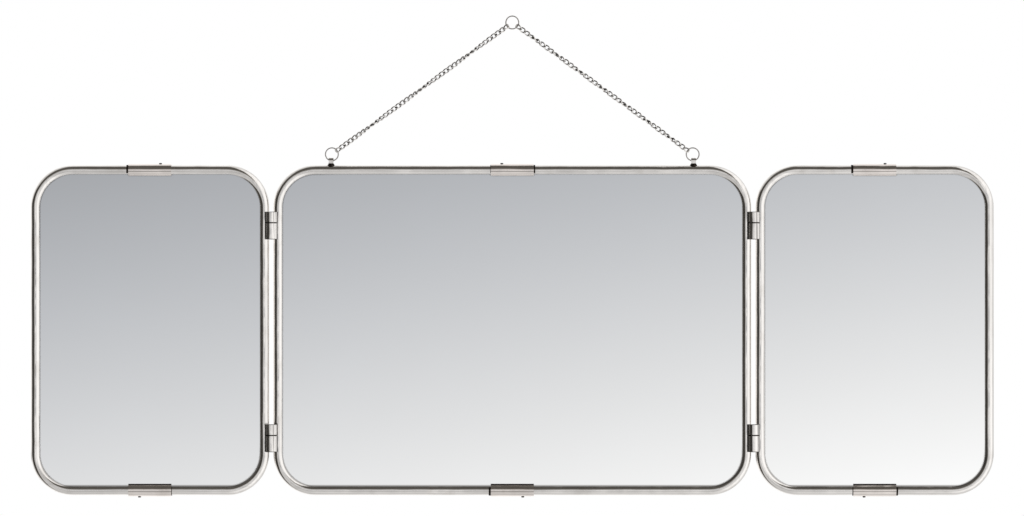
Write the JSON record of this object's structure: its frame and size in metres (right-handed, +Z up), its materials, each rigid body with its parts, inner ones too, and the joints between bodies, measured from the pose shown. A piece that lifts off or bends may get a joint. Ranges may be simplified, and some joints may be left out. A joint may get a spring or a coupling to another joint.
{
  "type": "trifold hanging mirror",
  "caption": "Trifold hanging mirror: round-cornered panes in bent tube frames, joined by barrel hinges and hung by a V of curb chain from a ring.",
  "frame": {"origin": "where the hanging ring rests on its hook: the top of the ring's inner edge, on the mirror's middle plane", "axes": "+X to the right of someone facing the mirror, +Y from the mirror towards the wall, +Z up; the panes face -Y"},
  "size_m": [0.963, 0.0208, 0.482],
  "materials": {
    "frame_tube": "aged silver plating, softly polished, darker in the seams",
    "mirror_glass": "silvered float glass, second-surface mirror",
    "backing_board": "dark brown hardboard",
    "hinges": "aged silver plating",
    "eyelets": "aged silver plating, darkened round the foot",
    "rings": "drawn wire",
    "chain": "antique silver curb chain",
    "steel_fixings": "plain steel"
  },
  "bodies": {
    "top_ring": {"top_hanging_ring": "rings"},
    "chain_hanger": {"left_chain": "chain", "left_eyelet_ring": "rings", "right_chain": "chain", "right_eyelet_ring": "rings"},
    "centre_mirror": {"centre_backing_board": "backing_board", "centre_bottom_sleeve": "frame_tube", "centre_bottom_sleeve_screw": "steel_fixings", "centre_frame_left_half": "frame_tube", "centre_frame_right_half": "frame_tube", "centre_mirror_glass": "mirror_glass", "centre_top_sleeve": "frame_tube", "centre_top_sleeve_screw": "steel_fixings", "left_eyelet": "eyelets", "left_lower_hinge_centre_knuckle": "hinges", "left_lower_hinge_pin": "steel_fixings", "left_upper_hinge_centre_knuckle": "hinges", "left_upper_hinge_pin": "steel_fixings", "right_eyelet": "eyelets", "right_lower_hinge_centre_knuckle": "hinges", "right_lower_hinge_pin": "steel_fixings", "right_upper_hinge_centre_knuckle": "hinges", "right_upper_hinge_pin": "steel_fixings"},
    "left_mirror": {"left_backing_board": "backing_board", "left_bottom_sleeve": "frame_tube", "left_bottom_sleeve_screw": "steel_fixings", "left_frame_left_half": "frame_tube", "left_frame_right_half": "frame_tube", "left_lower_hinge_side_knuckle": "hinges", "left_mirror_glass": "mirror_glass", "left_top_sleeve": "frame_tube", "left_top_sleeve_screw": "steel_fixings", "left_upper_hinge_side_knuckle": "hinges"},
    "right_mirror": {"right_backing_board": "backing_board", "right_bottom_sleeve": "frame_tube", "right_bottom_sleeve_screw": "steel_fixings", "right_frame_left_half": "frame_tube", "right_frame_right_half": "frame_tube", "right_lower_hinge_side_knuckle": "hinges", "right_mirror_glass": "mirror_glass", "right_top_sleeve": "frame_tube", "right_top_sleeve_screw": "steel_fixings", "right_upper_hinge_side_knuckle": "hinges"}
  },
  "joints": [
    {"name": "hanger_swing", "type": "hinge", "parent": "top_ring", "child": "chain_hanger", "pos_m": [0, 0, -0.00958], "axis": [1, 0, 0], "range_deg": [-35, 35]},
    {"name": "mirror_tilt", "type": "hinge", "parent": "chain_hanger", "child": "centre_mirror", "pos_m": [0, 0, -0.14395], "axis": [1, 0, 0], "range_deg": [-90, 90]},
    {"name": "left_mirror_fold", "type": "hinge", "parent": "centre_mirror", "child": "left_mirror", "pos_m": [-0.241, -0.00861, -0.31355], "axis": [0, 0, 1], "range_deg": [-20, 180]},
    {"name": "right_mirror_fold", "type": "hinge", "parent": "centre_mirror", "child": "right_mirror", "pos_m": [0.241, -0.00861, -0.31355], "axis": [0, 0, -1], "range_deg": [-20, 180]}
  ]
}
